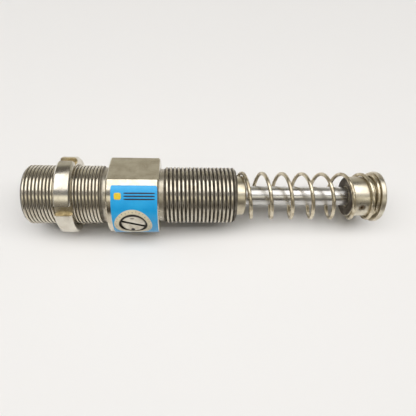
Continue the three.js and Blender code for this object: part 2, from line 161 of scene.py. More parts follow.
def skin(rings, closed=False):
    """A surface through rings of equal length, each closed on itself."""
    count = len(rings[0])
    rows = len(rings)
    faces = []
    for row in range(rows if closed else rows - 1):
        near = row * count
        far = (row + 1) % rows * count
        for i in range(count):
            j = (i + 1) % count
            faces.append((near + i, far + i, far + j, near + j))
    return np.concatenate(rings), faces


def rounded(profile, fillet, closed):
    """The profile with a small arc in place of each corner."""
    points = [np.array(point, float) for point in profile]
    result = []
    for i, corner in enumerate(points):
        if not closed and i in (0, len(points) - 1):
            result.append(corner)
            continue
        before = points[i - 1] - corner
        after = points[(i + 1) % len(points)] - corner
        reach = min(fillet, 0.45 * np.linalg.norm(before), 0.45 * np.linalg.norm(after))
        start = corner + before / np.linalg.norm(before) * reach
        end = corner + after / np.linalg.norm(after) * reach
        for t in (0, 0.3, 0.7, 1):
            result.append((1 - t) ** 2 * start + 2 * t * (1 - t) * corner + t**2 * end)
    return result


def turned(profile, fillet=0.12, closed=True, sides=160):
    """A solid turned about X from a profile of (x, radius) corners."""
    degrees = np.arange(sides) * 360 / sides
    rows = rounded(profile, fillet, closed) if fillet else profile
    return skin([wrap(x, radius, degrees) for x, radius in rows], closed)


def brick(low, high):
    """A box between two corners."""
    corners = [(x, y, z) for x in (low[0], high[0]) for y in (low[1], high[1]) for z in (low[2], high[2])]
    faces = [(0, 1, 3, 2), (4, 6, 7, 5), (0, 4, 5, 1), (2, 3, 7, 6), (0, 2, 6, 4), (1, 5, 7, 3)]
    return np.array(corners, float), faces


def turn_about_x(shape, degrees):
    """The shape turned about its own X axis."""
    points, faces = shape
    rotation = np.array(Matrix.Rotation(math.radians(degrees), 3, "X"))
    return points @ rotation.T, faces


def pointed_out(shape, elevation, x):
    """The shape stood up: its X axis points away from the cylinder, its Y axis runs along it."""
    points, faces = shape
    out = outward(elevation)
    along = Vector((1, 0, 0))
    across = out.cross(along)
    return points @ np.array([out, along, across]) + np.array([x, 0, 0]), faces


def together(*shapes):
    """Several shapes as one."""
    points = np.concatenate([shape[0] for shape in shapes])
    faces = []
    first = 0
    for shape in shapes:
        faces += [tuple(first + k for k in face) for face in shape[1]]
        first += len(shape[0])
    return points, faces


# ---------------------------------------------------------------- objects


def thing_from(name, shape):
    """An object with the shape as a clean closed mesh."""
    points, faces = shape
    mesh = bpy.data.meshes.new(name)
    mesh.from_pydata((points * MM).tolist(), [], faces)
    bm = bmesh.new()
    bm.from_mesh(mesh)
    bmesh.ops.remove_doubles(bm, verts=bm.verts, dist=2e-7)
    bmesh.ops.dissolve_degenerate(bm, edges=bm.edges, dist=1e-7)
    bmesh.ops.recalc_face_normals(bm, faces=bm.faces)
    bm.to_mesh(mesh)
    bm.free()
    thing = bpy.data.objects.new(name, mesh)
    bpy.context.scene.collection.objects.link(thing)
    return thing


def apply_modifiers(thing):
    graph = bpy.context.evaluated_depsgraph_get()
    mesh = bpy.data.meshes.new_from_object(thing.evaluated_get(graph))
    thing.modifiers.clear()
    thing.data = mesh


def combine(thing, shape, operation):
    """Cuts the shape out of the thing, or unites them."""
    tool = thing_from("tool", shape)
    modifier = thing.modifiers.new("combine", "BOOLEAN")
    modifier.object = tool
    modifier.operation = operation
    modifier.solver = "EXACT"
    apply_modifiers(thing)
    bpy.data.objects.remove(tool)


def bevel(thing, width, limit=40):
    """Breaks every edge that is sharper than the limit."""
    modifier = thing.modifiers.new("bevel", "BEVEL")
    modifier.width = width * MM
    modifier.segments = 2
    modifier.limit_method = "ANGLE"
    modifier.angle_limit = math.radians(limit)
    modifier.use_clamp_overlap = True
    apply_modifiers(thing)


def smooth(thing, limit=35):
    """Smooth shading, with creases where faces meet at more than the limit."""
    bm = bmesh.new()
    bm.from_mesh(thing.data)
    for face in bm.faces:
        face.smooth = True
    for edge in bm.edges:
        edge.smooth = len(edge.link_faces) == 2 and edge.calc_face_angle(0) < math.radians(limit)
    bm.to_mesh(thing.data)
    bm.free()


def register(thing, body, slot, *materials):
    """Shades the piece, lets it ride on its body and replaces the CAD node that it is named after."""
    smooth(thing)
    if not thing.data.materials:
        for material in materials:
            thing.data.materials.append(material)
    node = thing.name.removesuffix("_detail")
    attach(thing, body)
    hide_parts(node)


# ---------------------------------------------------------------- material nodes


class Paint:
    """A material's node tree, with short calls for the nodes that the finishes share."""

    def __init__(self, name):
        self.material = bpy.data.materials.new(name)
        self.material.use_nodes = True
        self.tree = self.material.node_tree
        self.shader = self.tree.nodes["Principled BSDF"]
        self.place = self.node("ShaderNodeTexCoord").outputs["Object"]

    def node(self, kind, inputs=(), **settings):
        new = self.tree.nodes.new(kind)
        for key, value in settings.items():
            setattr(new, key, value)
        for key, value in dict(inputs).items():
            self.put(new.inputs[key], value)
        return new

    def put(self, socket, value):
        """Sets a socket to a number or colour, or links it to another socket."""
        if isinstance(value, bpy.types.NodeSocket):
            self.tree.links.new(value, socket)
        elif isinstance(value, tuple) and len(value) == 3 and socket.type == "RGBA":
            socket.default_value = (*value, 1)
        else:
            socket.default_value = value

    def set(self, **sockets):
        """Sets the shader's sockets; an underscore in a name stands for a space."""
        for name, value in sockets.items():
            self.put(self.shader.inputs[name.replace("_", " ")], value)

    def math(self, operation, first, second=0.0, clamp=False):
        new = self.node("ShaderNodeMath", {0: first, 1: second}, operation=operation, use_clamp=clamp)
        return new.outputs[0]

    def noise(self, size, stretch=(1, 1, 1), detail=3.0, roughness=0.55):
        """Cloudy noise from 0 to 1 with features of a size in mm, longer by a factor along each axis."""
        scale = tuple(1 / (size * MM * factor) for factor in stretch)
        spot = self.node("ShaderNodeVectorMath", {0: self.place, 1: scale}, operation="MULTIPLY")
        inputs = {"Vector": spot.outputs[0], "Scale": 1.0, "Detail": detail, "Roughness": roughness}
        return self.node("ShaderNodeTexNoise", inputs).outputs["Fac"]

    def range(self, value, low, high, to_low=0.0, to_high=1.0):
        """Maps a value smoothly from low..high to to_low..to_high."""
        inputs = {"Value": value, "From Min": low, "From Max": high, "To Min": to_low, "To Max": to_high}
        return self.node("ShaderNodeMapRange", inputs, interpolation_type="SMOOTHSTEP").outputs[0]

    def mix(self, share, first, second):
        """A colour between two others."""
        new = self.node("ShaderNodeMix", {0: share, 6: first, 7: second}, data_type="RGBA")
        return new.outputs[2]

    def radius(self):
        """Distance from the cylinder's axis, in metres."""
        flat = self.node("ShaderNodeVectorMath", {0: self.place, 1: (0, 1, 1)}, operation="MULTIPLY")
        return self.node("ShaderNodeVectorMath", {0: flat.outputs[0]}, operation="LENGTH").outputs["Value"]

    def station(self):
        """Place along the cylinder's axis, in metres."""
        return self.node("ShaderNodeSeparateXYZ", {0: self.place}).outputs["X"]

    def from_point(self, point):
        """Distance from a point, in metres."""
        new = self.node("ShaderNodeVectorMath", {0: self.place, 1: point}, operation="DISTANCE")
        return new.outputs["Value"]

    def bump(self, height, depth, below=None):
        """Bumps of a depth in mm, on top of others if given."""
        inputs = {"Height": height, "Distance": depth * MM, "Strength": 1.0}
        if below:
            inputs["Normal"] = below
        return self.node("ShaderNodeBump", inputs).outputs["Normal"]


AROUND = (1, 12, 12)  # stretches noise into marks that run round the axis
ALONG = (14, 1, 1)

NICKEL = (0.70, 0.65, 0.54)
NICKEL_DULL = (0.56, 0.50, 0.39)
# Dark brown for specks of dirt and old oil, and for painted shade in hollows.
GRIME_AND_SHADE = (0.045, 0.035, 0.022)


def worked_metal(name, bright, dull, gloss=(0.12, 0.28), marks=AROUND, mark_depth=0.0012, stain_size=5.0):
    """Plated or bare metal: cloudy tarnish, fine marks from the lathe, and specks of dirt."""
    paint = Paint(name)
    cloud = paint.range(paint.noise(stain_size, detail=4.0), 0.35, 0.72)
    fine = paint.noise(0.16, marks, detail=4.0)
    speck = paint.range(paint.noise(0.7, detail=5.0, roughness=0.7), 0.66, 0.76)
    colour = paint.mix(cloud, bright, dull)
    colour = paint.mix(paint.math("MULTIPLY", speck, 0.35), colour, GRIME_AND_SHADE)
    rough = paint.range(paint.math("ADD", paint.math("MULTIPLY", cloud, 0.6), fine), 0.3, 1.3, *gloss)
    paint.set(Base_Color=colour, Metallic=1.0, Roughness=rough)
    paint.set(Normal=paint.bump(fine, mark_depth))
    paint.colour = colour
    paint.rough = rough
    return paint


def add_grime(paint, where, colour=GRIME_AND_SHADE):
    """Lays a dull dark colour over the metal where the mask is 1: real dirt, print and stains, and painted
    shade.
    """
    paint.set(Base_Color=paint.mix(where, paint.colour, colour))
    paint.set(Metallic=paint.math("SUBTRACT", 1.0, paint.math("MULTIPLY", where, 0.75)))
    keep = paint.math("SUBTRACT", 1.0, where)
    rough = paint.math("ADD", paint.math("MULTIPLY", paint.rough, keep), paint.math("MULTIPLY", where, 0.55))
    paint.set(Roughness=rough)


def body_metal():
    """Nickel-plated steel, darkened in the thread grooves and against the shoulders: dirt and old oil
    together with painted shade in these hollows.
    """
    paint = worked_metal("nickel_plated_steel", NICKEL, NICKEL_DULL)
    front = paint.range(paint.station(), block_start * MM, block_end * MM)
    crest = paint.range(front, 0.0, 1.0, REAR_THREAD_R * MM, FRONT_THREAD_R * MM)
    depth = paint.math("SUBTRACT", crest, paint.radius())
    # Painted shade with dirt: the deeper a point lies below the crest, the darker it gets; the front thread
    # darkens from just under its crest.
    rear_groove = paint.range(depth, 0.05 * MM, 0.36 * MM)
    front_groove = paint.range(depth, 0.0, 0.2 * MM)
    thread_only = paint.range(paint.math("ABSOLUTE", paint.math("SUBTRACT", paint.station(), dial_x * MM)),
                              (BLOCK / 2 + 1.6) * MM, (BLOCK / 2 + 2.4) * MM, 0.35, 1.0)
    patchy = paint.range(paint.noise(2.6, detail=5.0), 0.2, 0.7, 0.7, 1.0)
    rear_dirt_and_shade = paint.math("MULTIPLY", rear_groove, 0.85)
    front_dirt_and_shade = paint.math("MULTIPLY", front_groove, 0.97)
    groove_dirt_and_shade = paint.range(front, 0.0, 1.0, rear_dirt_and_shade, front_dirt_and_shade)
    groove_dirt_and_shade = paint.math("MULTIPLY", paint.math("MULTIPLY", groove_dirt_and_shade, patchy), thread_only, clamp=True)
    add_grime(paint, groove_dirt_and_shade)
    return paint.material


def cap_metal():
    """Turned steel with light corrosion round the set screw."""
    paint = worked_metal("turned_cap_steel", (0.72, 0.67, 0.55), (0.56, 0.50, 0.39), gloss=(0.26, 0.42))
    spot = outward(SCREW_ELEVATION) * SKIRT_R * MM + Vector((screw_x * MM, 0, 0))
    wander = paint.math("MULTIPLY", paint.noise(1.2), 0.0022)
    distance = paint.math("ADD", paint.from_point(tuple(spot)), wander)
    rust = paint.range(distance, 0.0020, 0.0038, 0.5, 0.0)
    # The face at the rim is darkened in brown patches.
    face = paint.range(paint.station(), (cap_rim + 0.25) * MM, (cap_rim + 0.5) * MM, 1.0, 0.0)
    face = paint.math("MULTIPLY", face, paint.range(paint.noise(4.0, detail=4.0), 0.25, 0.6, 0.75, 1.0))
    add_grime(paint, paint.math("MAXIMUM", rust, face), (0.060, 0.045, 0.030))
    return paint.material


def chrome():
    """Hard chrome: neutral, very smooth, with a few dull smears from the seals."""
    paint = Paint("hard_chrome")
    smear = paint.range(paint.noise(2.0, ALONG, detail=5.0), 0.35, 0.7)
    fine = paint.noise(0.12, (10, 1, 1), detail=3.0)
    nick = paint.range(paint.noise(1.1, detail=2.0), 0.74, 0.80)
    colour = paint.mix(smear, (0.76, 0.75, 0.73), (0.56, 0.55, 0.53))
    paint.set(Base_Color=paint.mix(nick, colour, (0.10, 0.08, 0.06)), Metallic=1.0)
    paint.set(Roughness=paint.range(smear, 0.0, 1.0, 0.24, 0.38))
    paint.set(Normal=paint.bump(fine, 0.0004))
    return paint.material


def spring_wire():
    paint = worked_metal("spring_wire", (0.72, 0.65, 0.50), (0.42, 0.35, 0.24), gloss=(0.22, 0.4),
                         marks=(1, 1, 1), mark_depth=0.002, stain_size=3.0)
    return paint.material


def dial_plane(paint):
    """Offsets from the dial's centre along the cylinder and upwards round it, in metres."""
    across = outward(DIAL_ELEVATION).cross(Vector((1, 0, 0)))
    up = paint.node("ShaderNodeVectorMath", {0: paint.place, 1: tuple(across)}, operation="DOT_PRODUCT")
    along = paint.math("SUBTRACT", paint.station(), dial_x * MM)
    return along, up.outputs["Value"]


def distance_from(paint, plane, along=0.0, up=0.0, squeeze=1.0):
    """Distance in the dial's plane from a spot given in mm; squeeze below 1 makes a mask long along X."""
    right = paint.math("MULTIPLY", paint.math("SUBTRACT", plane[0], along * MM), squeeze)
    high = paint.math("SUBTRACT", plane[1], up * MM)
    squares = paint.math("ADD", paint.math("POWER", right, 2.0), paint.math("POWER", high, 2.0))
    return paint.math("SQRT", squares)


def dial_metal():
    """The dial's turned face, with a painted dash, a black dot and painted shade darkening it towards its
    rim.
    """
    paint = worked_metal("dial_face", (0.72, 0.68, 0.58), (0.56, 0.51, 0.42), gloss=(0.28, 0.5),
                         marks=(1, 1, 1), mark_depth=0.0015, stain_size=2.5)
    plane = dial_plane(paint)
    dot = paint.range(distance_from(paint, plane, -0.5, -4.3), 0.00080, 0.00098, 1.0, 0.0)
    dash = paint.range(distance_from(paint, plane, -0.3, 3.8, 0.3), 0.00022, 0.00036, 0.8, 0.0)
    # Painted shade: the face darkens towards its rim, beside the gap round the dial.
    edge = paint.range(distance_from(paint, plane), 0.0047, 0.0054, 0.0, 0.7)
    add_grime(paint, paint.math("MAXIMUM", paint.math("MAXIMUM", dot, dash), edge), (0.02, 0.018, 0.016))
    return paint.material


def label_film():
    """Printed blue film with a cream ring round the dial; both vary in blotches and streaks, and the ring is
    darkened next to the dial's hole as painted shade.
    """
    paint = Paint("label_film")
    plane = dial_plane(paint)
    ring = paint.range(distance_from(paint, plane), 0.00825, 0.00835, 1.0, 0.0)
    fade = paint.range(paint.noise(7.0, detail=4.0), 0.3, 0.75)
    blue = paint.mix(fade, (0.006, 0.35, 0.74), (0.020, 0.42, 0.80))
    streak = paint.range(paint.noise(0.9, (1, 6, 6), detail=4.0), 0.5, 0.8, 0.0, 0.25)
    blue = paint.mix(streak, blue, (0.002, 0.25, 0.60))
    cream = paint.mix(fade, (0.80, 0.72, 0.50), (0.66, 0.58, 0.40))
    # Painted shade: the cream ring darkens next to the hole round the dial.
    inner = paint.range(distance_from(paint, plane), 0.0059, 0.0066, 0.75, 0.0)
    cream = paint.mix(inner, cream, (0.10, 0.08, 0.06))
    paint.set(Base_Color=paint.mix(ring, blue, cream))
    paint.set(Roughness=paint.range(paint.noise(1.5, detail=4.0), 0.3, 0.7, 0.32, 0.5))
    paint.set(Normal=paint.bump(paint.noise(0.5, detail=3.0), 0.004), Coat_Weight=0.25, Coat_Roughness=0.25)
    return paint.material


def print_ink(name, colour):
    """Ink with slightly uneven cover."""
    paint = Paint(name)
    patch = paint.range(paint.noise(0.6, detail=4.0), 0.3, 0.8, 0.0, 0.4)
    paint.set(Base_Color=paint.mix(patch, colour, tuple(min(1, 1.6 * part + 0.03) for part in colour)))
    paint.set(Roughness=paint.range(paint.noise(0.4), 0.3, 0.7, 0.35, 0.55))
    return paint.material


def plain_stuff(name, colour, other, roughness, grain, depth, metallic=0.0):
    """Rubber, plastic, foam or a bare metal: two close colours in patches, uneven gloss and a fine grain."""
    paint = Paint(name)
    patch = paint.range(paint.noise(3.0 * grain, detail=4.0), 0.3, 0.7)
    fine = paint.noise(grain, detail=4.0)
    paint.set(Base_Color=paint.mix(patch, colour, other), Metallic=metallic)
    paint.set(Roughness=paint.range(fine, 0.3, 0.7, roughness - 0.08, roughness + 0.08))
    paint.set(Normal=paint.bump(fine, depth))
    return paint.material


nickel = body_metal()
nut_nickel = worked_metal("nut_nickel", (0.74, 0.70, 0.61), (0.60, 0.55, 0.46), gloss=(0.14, 0.3)).material
gold_slot = worked_metal("passivated_slot", (0.78, 0.70, 0.52), (0.44, 0.36, 0.22), gloss=(0.25, 0.45),
                         marks=(1, 1, 1), mark_depth=0.003, stain_size=1.6).material
gland_steel = worked_metal("gland_steel", (0.70, 0.64, 0.50), (0.54, 0.48, 0.36), gloss=(0.28, 0.42)).material
cap_steel = cap_metal()
screw_steel = worked_metal("set_screw_steel", (0.40, 0.33, 0.23), (0.16, 0.11, 0.07), gloss=(0.3, 0.5),
                           marks=(1, 1, 1), stain_size=1.0).material
rod_chrome = chrome()
spring_steel = spring_wire()
dial_steel = dial_metal()
blue_film = label_film()
dark_ink = print_ink("dark_ink", (0.012, 0.02, 0.045))
yellow_ink = print_ink("yellow_ink", (0.75, 0.52, 0.02))
# Near-black: the real finish of the fill screw and the retaining ring, and painted shade in the dial's slot.
black_oxide_and_shade = plain_stuff("black_oxide_and_shade", (0.030, 0.027, 0.024), (0.060, 0.050, 0.040), 0.42, 0.25, 0.002, 0.7)
plug_steel = worked_metal("plug_steel", (0.56, 0.55, 0.52), (0.40, 0.38, 0.35)).material
inner_steel = worked_metal("inner_steel", (0.50, 0.49, 0.47), (0.36, 0.35, 0.33)).material
bronze = worked_metal("bronze", (0.58, 0.38, 0.16), (0.34, 0.22, 0.10), gloss=(0.3, 0.5)).material
nitrile = plain_stuff("nitrile_rubber", (0.012, 0.012, 0.012), (0.022, 0.021, 0.020), 0.62, 0.2, 0.004)
polyurethane = plain_stuff("polyurethane", (0.04, 0.13, 0.30), (0.06, 0.18, 0.36), 0.45, 0.3, 0.003)
foam = plain_stuff("closed_cell_foam", (0.035, 0.035, 0.035), (0.065, 0.063, 0.06), 0.9, 0.5, 0.12)
brown_plastic = plain_stuff("bearing_plastic", (0.15, 0.07, 0.025), (0.20, 0.10, 0.04), 0.5, 0.3, 0.003)


# ---------------------------------------------------------------- main body

THREAD_SHARES = (-0.5, -0.47, -0.42, -0.34, -0.22, -0.1, 0.0, 0.1, 0.22, 0.34, 0.42, 0.47)
THREAD_STEPS = tuple((share, math.sqrt(1 - 4 * share**2)) for share in THREAD_SHARES)  # wide round crests


def body_columns():
    """Elevations of the body's columns: every 2 degrees, and closer at the edges of the wrench flats."""
    edge = math.degrees(math.acos(HALF_FLATS / BLOCK_R))
    degrees = set(np.arange(0, 360, 2.0))
    for flat in (FLAT_ELEVATION, FLAT_ELEVATION + 180):
        for side in (-edge, edge):
            degrees |= {(flat + side + nudge) % 360 for nudge in (-0.9, -0.35, 0, 0.35, 0.9)}
    return np.array(sorted(degrees))


def thread(start, end, start_r, end_r, crest_r, depth, pitch, chamfered_start, columns):
    """A right-hand thread. Its free end is chamfered and its other end runs out into a plain neck.

    One row of points runs round the cylinder at each step of the profile, shifted along X by one
    pitch per turn, so the last column joins the first one of the row that lies a turn away.
    """
    per_turn = len(THREAD_STEPS)
    turns = math.ceil((end - start) / pitch) + 2
    steps = np.array([(turn + share) * pitch for turn in range(turns) for share, _ in THREAD_STEPS])
    heights = np.array([height for _ in range(turns) for _, height in THREAD_STEPS])
    x = np.clip(start + steps[:, None] - pitch * columns[None, :] / 360, start, end)
    radius = np.broadcast_to((crest_r - depth * (1 - heights))[:, None], x.shape)
    if chamfered_start:
        radius = np.minimum(radius, start_r + x - start)
        share = np.clip((end - x) / RUN_OUT, 0, 1)
        radius = end_r + (radius - end_r) * share
    else:
        radius = np.minimum(radius, end_r + end - x)
        share = np.clip((x - start) / RUN_OUT, 0, 1)
        radius = start_r + (radius - start_r) * share
    angle = np.radians(columns)[None, :]
    points = np.stack([x, -radius * np.cos(angle), radius * np.sin(angle)], axis=-1)
    rows, count = x.shape
    faces = []
    for row in range(rows - 1):
        for i in range(count - 1):
            near = row * count + i
            faces.append((near, near + count, near + count + 1, near + 1))
        last = row * count + count - 1
        seam = max(row - per_turn, 0) * count
        next_seam = max(row + 1 - per_turn, 0) * count
        faces.append((last, last + count, next_seam, seam))
    return points.reshape(-1, 3), faces


def flattened(radius, degrees, inset=0.0):
    """A radius cut down to the two wrench flats, with slightly rounded edges."""
    off = (degrees - FLAT_ELEVATION) % 180
    off = np.minimum(np.minimum(off, 180 - off), 60)  # past 60 degrees the flats don't matter
    flat = (HALF_FLATS - inset) / np.cos(np.radians(off))
    return (radius + flat - np.hypot(radius - flat, 0.08)) / 2


def block_rings(columns):
    """Rings from the end of the rear thread, over the wrench block, to the front thread."""
    necks = [
        (rear_thread_end + RUN_OUT, REAR_RELIEF_R, 0),
        (block_start - 0.35, REAR_RELIEF_R, 0),
        (block_start - 0.1, REAR_RELIEF_R + 0.1, 0),
        (block_start, REAR_RELIEF_R + 0.35, 0),
        (block_start, BLOCK_R - BLOCK_CHAMFER, 0.5 * BLOCK_CHAMFER),
        (block_start + 0.9 * BLOCK_CHAMFER, BLOCK_R - 0.1 * BLOCK_CHAMFER, 0.03),
        (block_start + 1.3 * BLOCK_CHAMFER, BLOCK_R, 0),
        (block_end - 1.3 * BLOCK_CHAMFER, BLOCK_R, 0),
        (block_end - 0.9 * BLOCK_CHAMFER, BLOCK_R - 0.1 * BLOCK_CHAMFER, 0.03),
        (block_end, BLOCK_R - BLOCK_CHAMFER, 0.5 * BLOCK_CHAMFER),
        (block_end, FRONT_RELIEF_R + 0.35, 0),
        (block_end + 0.1, FRONT_RELIEF_R + 0.1, 0),
        (block_end + 0.35, FRONT_RELIEF_R, 0),
        (front_thread_start, FRONT_RELIEF_R, 0),
    ]
    rings = []
    for x, radius, inset in necks:
        at_block = block_start <= x <= block_end and radius > HALF_FLATS
        rings.append(wrap(x, flattened(radius, columns, inset) if at_block else radius, columns))
    return rings


def make_body():
    columns = body_columns()
    rear_chamfer_r = REAR_THREAD_R - END_CHAMFER
    front_chamfer_r = FRONT_THREAD_R - END_CHAMFER
    inside = [
        (rear_end, rear_chamfer_r),
        (rear_end, BORE_R + 0.4),
        (rear_end + 0.4, BORE_R),
        (block_start, BORE_R),
        (block_end, BORE_R),
        (body_front - 0.2, BORE_R),
        (body_front, BORE_R + 0.2),
        (body_front, front_chamfer_r),
    ]
    shape = together(
        skin([wrap(x, radius, columns) for x, radius in inside]),
        thread(rear_end, rear_thread_end + RUN_OUT, rear_chamfer_r, REAR_RELIEF_R,
               REAR_THREAD_R, REAR_DEPTH, REAR_PITCH, True, columns),
        skin(block_rings(columns)),
        thread(front_thread_start, body_front, FRONT_RELIEF_R, front_chamfer_r,
               FRONT_THREAD_R, FRONT_DEPTH, FRONT_PITCH, False, columns),
    )
    body = thing_from("main_body_detail", shape)
    pocket = [(8, 0), (8, 2.2), (POCKET_FLOOR, 2.2), (POCKET_FLOOR, POCKET_R), (20, POCKET_R), (20, 0)]
    cutter = pointed_out(turned(pocket, 0, False, 96), DIAL_ELEVATION, dial_x)
    combine(body, cutter, "DIFFERENCE")
    register(body, "cylinder", "body", nickel)


# ---------------------------------------------------------------- label

NUMERALS = 10
NUMERAL_R = 7.3
NUMERAL_SIZE = 0.95
TICK_R = 7.75
NUMERAL_STEP = 24  # degrees
FIRST_NUMERAL = 186


def on_label(along, around, radius=LABEL_R):
    """A spot on the label from its offsets to the dial's centre, measured along the curved film."""
    elevation = DIAL_ELEVATION + np.degrees(around / LABEL_R)
    return wrap(dial_x + along, radius, elevation)


def sheet_outline(theta, corner=0.9):
    """Distance from the dial's centre to the film's edge in each direction, with rounded corners."""
    right = np.where(np.cos(theta) > 0, label_end - dial_x, dial_x - label_start)
    degrees = np.where(np.sin(theta) > 0, LABEL_HIGH - DIAL_ELEVATION, DIAL_ELEVATION - LABEL_LOW)
    high = np.radians(degrees) * LABEL_R
    to_side = right / np.maximum(np.abs(np.cos(theta)), 1e-6)
    to_end = high / np.maximum(np.abs(np.sin(theta)), 1e-6)
    near = np.minimum(to_side, to_end)
    gap = np.abs(to_side - to_end)
    return near - corner * 0.25 * np.exp(-((gap / corner) ** 2))


def label_sheet():
    """The film, from the hole round the dial out to its edge."""
    theta = np.radians(np.arange(0, 360, 1.5))
    edge = sheet_outline(theta)
    hole = POCKET_R + 0.02
    inner = LABEL_R - LABEL_THICKNESS
    rings = []
    for share, radius in ((0, inner), (0, LABEL_R - 0.03), (0.01, LABEL_R), (0.15, LABEL_R), (0.3, LABEL_R),
                          (0.45, LABEL_R), (0.6, LABEL_R), (0.75, LABEL_R), (0.9, LABEL_R), (0.995, LABEL_R),
                          (1, LABEL_R - 0.03), (1, inner), (0.75, inner), (0.5, inner), (0.25, inner)):
        reach = hole + share * (edge - hole)
        rings.append(on_label(reach * np.cos(theta), reach * np.sin(theta), radius))
    return skin(rings, closed=True)


def print_patch(along, around, half_length, half_width, power=6, turn=0.0, lift=0.025):
    """A thin printed patch; power 2 gives an ellipse and higher powers a squarer outline."""
    theta = np.radians(np.arange(0, 360, 12))
    reach = (np.abs(np.cos(theta)) ** power + np.abs(np.sin(theta)) ** power) ** (-1 / power)
    u = reach * np.cos(theta) * half_length
    v = reach * np.sin(theta) * half_width
    right = u * math.cos(turn) - v * math.sin(turn)
    high = u * math.sin(turn) + v * math.cos(turn)
    rings = []
    for share, rise in ((0, lift), (0.5, lift), (0.97, lift), (1, 0.6 * lift), (1, -0.01), (0, -0.01)):
        rings.append(on_label(along + share * right, around + share * high, LABEL_R + rise))
    return skin(rings)


def dial_ticks():
    """Short radial marks at the rim of the scale, one between each two numerals."""
    ticks = []
    for i in range(NUMERALS - 1):
        angle = math.radians(FIRST_NUMERAL - NUMERAL_STEP * (i + 0.5))
        along = TICK_R * math.cos(angle)
        around = TICK_R * math.sin(angle)
        ticks.append(print_patch(along, around, 0.3, 0.07, 6, angle))
    return ticks


def digit(text, angle):
    """A numeral as a thin solid on the film, with its top away from the dial."""
    curve = bpy.data.curves.new("digit", "FONT")
    curve.body = text
    curve.size = NUMERAL_SIZE
    curve.extrude = 0.012
    curve.align_x = "CENTER"
    curve.align_y = "CENTER"
    curve.resolution_u = 3
    thing = bpy.data.objects.new("digit", curve)
    bpy.context.scene.collection.objects.link(thing)
    graph = bpy.context.evaluated_depsgraph_get()
    mesh = bpy.data.meshes.new_from_object(thing.evaluated_get(graph))
    points = np.array([vertex.co for vertex in mesh.vertices])
    faces = [tuple(face.vertices) for face in mesh.polygons]
    bpy.data.objects.remove(thing)
    reach = NUMERAL_R + points[:, 1]
    placed = on_label(reach * math.cos(angle) + points[:, 0] * math.sin(angle),
                      reach * math.sin(angle) - points[:, 0] * math.cos(angle))
    return placed * (1 + (points[:, 2:] + 0.012) / LABEL_R * [[0, 1, 1]]), faces


def make_label():
    parts = [label_sheet(), *dial_ticks()]
    for i in range(NUMERALS):
        parts.append(digit(str(i), math.radians(FIRST_NUMERAL - NUMERAL_STEP * i)))
    middle = 14.6
    for around in (middle + 1.3, middle, middle - 1.3):
        parts.append(print_patch(3.2, around, 6.6, 0.32))
    parts.append(print_patch(-6.0, middle, 1.5, 1.5, 4))
    label = thing_from("label_detail", together(*parts))
    for material in (blue_film, dark_ink, yellow_ink):
        label.data.materials.append(material)
    paint_by_place(label)
    register(label, "cylinder", "label")


def paint_by_place(label):
    """Gives the raised print its ink: yellow for the square, dark for everything else that stands proud."""
    mesh = label.data
    radius = np.array([math.hypot(v.co.y, v.co.z) / MM for v in mesh.vertices])
    for face in mesh.polygons:
        if max(radius[list(face.vertices)]) > LABEL_R + 0.008:
            face.material_index = 2 if face.center.x / MM < dial_x - 4.4 and face.center.z / MM > 12 else 1


# ---------------------------------------------------------------- lock nut


def make_nut():
    bore = REAR_THREAD_R + 0.1
    ring = turned(
        [
            (nut_start, bore + 0.6),
            (nut_start, NUT_R - 0.9),
            (nut_start + 0.9, NUT_R),
            (nut_end - 0.9, NUT_R),
            (nut_end, NUT_R - 0.9),
            (nut_end, bore + 0.6),
            (nut_end - 0.6, bore),
            (nut_start + 0.6, bore),
        ],
        fillet=0.2,
    )
    nut = thing_from("lock_nut_detail", ring)
    elevations = [NUT_SLOT_ELEVATION + 360 / NUT_SLOTS * i for i in range(NUT_SLOTS)]
    half = NUT_SLOT_WIDTH / 2
    for elevation in elevations:
        slot = brick((NUT_SLOT_FLOOR, -10, -half), (NUT_R + 2.5, 10, half))
        combine(nut, pointed_out(slot, elevation, (nut_start + nut_end) / 2), "DIFFERENCE")
    bevel(nut, 0.14)
    nut.data.materials.append(nut_nickel)
    nut.data.materials.append(gold_slot)
    for face in nut.data.polygons:
        y, z = face.center.y / MM, face.center.z / MM
        for elevation in elevations:
            out = outward(elevation)
            height = out.y * y + out.z * z
            aside = out.z * y - out.y * z
            if NUT_SLOT_FLOOR - 0.2 < height < NUT_R - 0.1 and abs(aside) < half + 0.03:
                face.material_index = 1
    register(nut, "nut", "lock_nut")


# ---------------------------------------------------------------- adjuster


